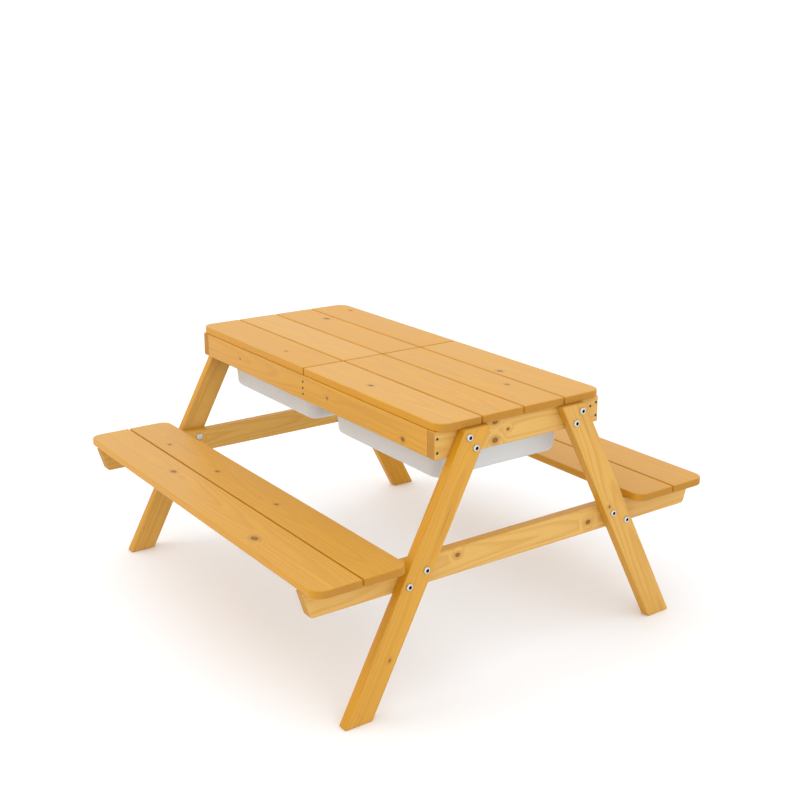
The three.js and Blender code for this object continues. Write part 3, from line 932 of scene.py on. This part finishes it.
def bolt_profile(sizes, long):
    """Stops (place along +X, radius, whether the ring is a hexagon) of a bolt of a length.

    They run from the cap nut's inner end at -X to the bottom of the button head's socket.
    The wood's outer face is at 0 and its inner face is where the nut begins.
    """
    head, nut, shank, socket = (
        across / 2 for across in (sizes.head, sizes.nut, sizes.shank, sizes.socket)
    )
    top = sizes.head_height
    bottom = top - sizes.socket_depth
    tip = top - long
    wood = tip + sizes.nut_height
    rim = top * 0.28
    share = np.linspace(0, 1, 6)
    dome_radius = head * np.cos(share * math.radians(54))
    dome_rise = rim + (top - rim) * np.sin(share * math.pi / 2)
    stops = [
        (tip + 1.2 * MM, socket * 0.9, True),
        (tip, socket, True),
        (tip, nut * 0.72, False),
        (tip + 0.5 * MM, nut * 0.93, False),
        (tip + 1.1 * MM, nut, False),
        (wood, nut, False),
        (wood, shank, False),
        (0.0, shank, False),
        (0.0, head - 0.2 * MM, False),
        (0.2 * MM, head, False),
    ]
    stops += [(rise, radius, False) for rise, radius in zip(dome_rise, dome_radius)]
    stops += [
        (top - 0.1 * MM, socket + 0.25 * MM, True),
        (top - 0.4 * MM, socket, True),
        (bottom, socket * 0.97, True),
        (bottom - 0.5 * MM, socket * 0.3, False),
    ]
    return stops


class TABLE_OT_bolts(Operator):
    """Make the bolts with button heads outside and cap nuts inside"""

    bl_idname = "table.bolts"
    bl_label = "Bolts"

    def execute(self, context):
        sizes = context.scene.table.fasteners
        material = bpy.data.materials["bright zinc plate"]
        for node in sorted(n for n in frame["nodes"] if n.startswith("bolt_")):
            low, high = box_of(node)
            centre = (low + high) / 2
            side = 1 if centre[0] > 0 else -1
            stops = bolt_profile(sizes, high[0] - low[0])
            profile = [(place, radius) for place, radius, _ in stops]
            points, faces = turned_surface(profile, [six for _, _, six in stops], BOLT_FACETS)
            # Marks the socket's rings for painted shade.
            painted_socket_shade = np.zeros_like(points)
            painted_socket_shade[-SOCKET_STOPS * BOLT_FACETS :, 0] = 1.0
            face = high[0] - sizes.head_height if side > 0 else low[0] + sizes.head_height
            points = points * (side, side, 1) + (face, centre[1], centre[2])
            attributes = {"painted_socket_shade": painted_socket_shade}
            piece = make_piece(f"zinc_{node}", points, faces, material, attributes=attributes)
            piece.data.set_sharp_from_angle(angle=math.radians(32))
            stand_in(piece, node)
        return {"FINISHED"}


# Rings of a screw's head, from inside the wood to its middle: share of the head's radius,
# height over the wood in mm and share of the cross's depth.
SCREW_RINGS = (
    (1.0, -1.2, 0.0),
    (1.0, 0.15, 0.0),
    (0.72, 0.4, 0.1),
    (0.45, 0.42, 1.0),
    (0.18, 0.42, 1.0),
)
SCREW_FACETS = 24
CROSS_DEPTH = 0.3 * MM


def screw_surface(places, facing, head):
    """Points and faces of cross-head countersunk screws, one closed small head at each place.

    A head is a shallow dome that stands 0.4 mm out of the wood. The cross sinks into it
    where the cosine of four times the turn is high, and a round dimple lies in its middle.
    """
    turn = np.arange(SCREW_FACETS) * 2 * math.pi / SCREW_FACETS
    share, height, depth = np.array(SCREW_RINGS).T
    arm = np.clip(np.cos(turn * 4) * 2.2 - 0.6, 0, 1)
    sink = depth[:, None] * (arm * 0.6 + 0.4) * CROSS_DEPTH
    sink[depth < 1] *= arm
    radius = share[:, None] * head / 2 * np.ones(SCREW_FACETS)
    rise = height[:, None] * MM - sink
    across = unit(np.cross(facing, (0.3, 0.2, 1.0)))
    along = np.cross(facing, across)
    ring = (
        radius[..., None] * (np.cos(turn)[:, None] * across + np.sin(turn)[:, None] * along)
        + rise[..., None] * np.asarray(facing, float)
    )
    points = (np.asarray(places)[:, None] + ring.reshape(-1, 3)[None]).reshape(-1, 3)
    one = grid_faces(len(SCREW_RINGS), SCREW_FACETS)
    count = len(SCREW_RINGS) * SCREW_FACETS
    faces = [[corner + k * count for corner in face] for k in range(len(places)) for face in one]
    return points, faces


def make_screws(name, groups, body):
    """One object of all the screws of a body: each group is (places, facing)."""
    head = bpy.context.scene.table.fasteners.screw_head
    points, faces, start = [], [], 0
    for places, facing in groups:
        some, these = screw_surface(places, facing, head)
        points.append(some)
        faces += [[corner + start for corner in face] for face in these]
        start += len(some)
    # Partly painted shade: the dark steel stands in for each countersunk hole.
    steel = bpy.data.materials["dark steel with painted hole shade"]
    piece = make_piece(name, np.concatenate(points), faces, steel)
    piece.data.set_sharp_from_angle(angle=math.radians(40))
    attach(piece, body)


def frame_screws(sizes):
    """Screw groups in the end boards, in the rails at mid length and under the benches.

    Two go through an end board into each rail's end, and a third is at the back. Three go
    through a rail into the divider, and four through a bench's batten into its boards.
    """
    low, high = box_of("rail_front")
    end_face = box_of("end_board_right")[1][0]
    middle = (low[2] + high[2]) / 2
    rail = abs(low[1] + high[1]) / 2
    rise = sizes.screw_rise
    groups = []
    for side in (-1, 1):
        x = side * end_face
        places = [(x, way * rail, middle + up) for way in (-1, 1) for up in (-rise, rise)]
        places.append((x, rail - sizes.third_in, middle + sizes.third_up))
        groups.append((places, (side, 0, 0)))
    for face, way in (("front", -1), ("back", 1)):
        places = [(0.0, way * abs(low[1]), middle + up) for up in (-rise, 0.0, rise)]
        groups.append((places, (0, way, 0)))
        under, over = box_of(f"bench_{face}_batten")
        apart = sizes.screw_apart / 2
        places = [
            (x, under[1] + share * (over[1] - under[1]), under[2])
            for x in (-apart, apart)
            for share in (0.18, 0.82)
        ]
        groups.append((places, (0, 0, -1)))
    return groups


def ledge_screws(side):
    """Screw groups in one bay's ledges: three in each, on the side that faces the bin."""
    out = 1 if side == "right" else -1
    groups = []
    for place, axis, way, shares in (
        ("divider", 0, out, (0.17, 0.5, 0.8)),
        ("end", 0, -out, (0.17, 0.5, 0.8)),
        ("front", 1, 1, (0.16, 0.5, 0.84)),
        ("back", 1, -1, (0.16, 0.5, 0.84)),
    ):
        low, high = box_of(f"ledge_{place}_{side}")
        along = 1 - axis
        places = np.tile((low + high) / 2, (len(shares), 1))
        places[:, axis] = high[axis] if way > 0 else low[axis]
        places[:, along] = low[along] + np.array(shares) * (high - low)[along]
        groups.append((places, way * np.eye(3)[axis]))
    return groups


def lid_screws(side):
    """Places of the screws under a lid: two through each batten into each board over it.

    A screw is left out where it would be within 8 mm of the batten's end.
    """
    margin = 8 * MM
    stagger = 24 * MM  # along X, for a whole board's width
    places = []
    for part in ("inner", "outer"):
        low, high = box_of(f"lid_{side}_batten_{part}")
        for number in range(1, LID_BOARDS + 1):
            board_low, board_high = box_of(f"lid_{side}_board_{number}")
            for share in (0.28, 0.72):
                x = (low[0] + high[0]) / 2 + (share - 0.5) * stagger
                y = board_low[1] + share * (board_high[1] - board_low[1])
                if low[1] + margin < y < high[1] - margin:
                    places.append((x, y, low[2]))
    return places


class TABLE_OT_screws(Operator):
    """Make the wood screws of the frame, the ledges, the battens and the lids"""

    bl_idname = "table.screws"
    bl_label = "Wood screws"

    def execute(self, context):
        sizes = context.scene.table.fasteners
        groups = frame_screws(sizes)
        for side in SIDES:
            groups += ledge_screws(side)
        make_screws("screws_frame", groups, "frame")
        for side in SIDES:
            make_screws(f"screws_lid_{side}", [(lid_screws(side), (0, 0, -1))], f"lid_{side}")
        return {"FINISHED"}


class TABLE_OT_stage(Operator):
    """Make the pale floor, the soft studio light and the camera"""

    bl_idname = "table.stage"
    bl_label = "Stage"

    def execute(self, context):
        settings = context.scene.table.stage
        reach = 30.0  # metres to the floor's edges
        points = reach * np.array([(-1, -1, 0), (1, -1, 0), (1, 1, 0), (-1, 1, 0)])
        paint = bpy.data.materials["studio floor paint"]
        floor = make_piece("studio_floor", points, [[0, 1, 2, 3]], paint)

        world = bpy.data.worlds.new("studio")
        context.scene.world = world
        world.use_nodes = True
        background = world.node_tree.nodes["Background"]
        background.inputs["Color"].default_value = (1.0, 1.0, 1.0, 1.0)
        background.inputs["Strength"].default_value = settings.sky

        table = (0, 0, 0.3)
        self.lamp("key", place=(-1.2, -2.6, 3.4), size=2.6, power=settings.key, target=table)
        self.lamp("side", place=(3.6, -0.4, 1.8), size=2.2, power=settings.side, target=table)

        camera = bpy.data.objects.new("camera", bpy.data.cameras.new("camera"))
        context.scene.collection.objects.link(camera)
        camera.data.sensor_width = 36.0
        camera.data.lens = settings.lens
        camera.data.shift_y = settings.shift
        camera.location = settings.eye
        tilt = math.radians(90 - settings.elevation)
        camera.rotation_euler = (tilt, 0, math.radians(settings.azimuth))
        context.scene.camera = camera
        context.scene.view_settings.view_transform = "Standard"
        return {"FINISHED"}

    def lamp(self, name, place, size, power, target):
        """A square soft box, its size in metres and its power in watts, aimed at a target."""
        data = bpy.data.lights.new(name, "AREA")
        data.size = size
        data.energy = power
        lamp = bpy.data.objects.new(name, data)
        bpy.context.scene.collection.objects.link(lamp)
        aim = np.asarray(target, float) - np.asarray(place, float)
        flat = math.hypot(aim[0], aim[1])
        tilt = math.atan2(flat, -aim[2])
        lamp.location = place
        lamp.rotation_euler = (tilt, 0, math.atan2(aim[1], aim[0]) - math.pi / 2)


BUILD_ORDER = (
    TABLE_OT_finishes,
    TABLE_OT_frame,
    TABLE_OT_ledges,
    TABLE_OT_legs,
    TABLE_OT_stretchers,
    TABLE_OT_benches,
    TABLE_OT_lids,
    TABLE_OT_bins,
    TABLE_OT_bolts,
    TABLE_OT_screws,
    TABLE_OT_stage,
)


class TABLE_PT_sidebar(Panel):
    """Lists every step and the sizes and colours that it reads"""

    bl_label = "Sand and Water Table"
    bl_idname = "TABLE_PT_sidebar"
    bl_space_type = "VIEW_3D"
    bl_region_type = "UI"
    bl_category = "Table"

    def draw(self, context):
        layout = self.layout
        for step in BUILD_ORDER:
            layout.operator(step.bl_idname)
        table = context.scene.table
        for group in (table.boards, table.bins, table.fasteners, table.finishes, table.stage):
            box = layout.box()
            for key in group.__annotations__:
                box.prop(group, key)


CLASSES = (
    BoardSettings,
    BinSettings,
    FastenerSettings,
    FinishSettings,
    StageSettings,
    TableSettings,
    *BUILD_ORDER,
    TABLE_PT_sidebar,
)


def register():
    """Registers every class and hangs the settings on the scene."""
    for cls in CLASSES:
        bpy.utils.register_class(cls)
    bpy.types.Scene.table = PointerProperty(type=TableSettings)


def unregister():
    """Takes the settings off the scene and unregisters every class."""
    del bpy.types.Scene.table
    for cls in reversed(CLASSES):
        bpy.utils.unregister_class(cls)


def main():
    """Builds the whole table."""
    register()
    for step in BUILD_ORDER:
        group, name = step.bl_idname.split(".")
        getattr(getattr(bpy.ops, group), name)()


if __name__ == "__main__":
    main()
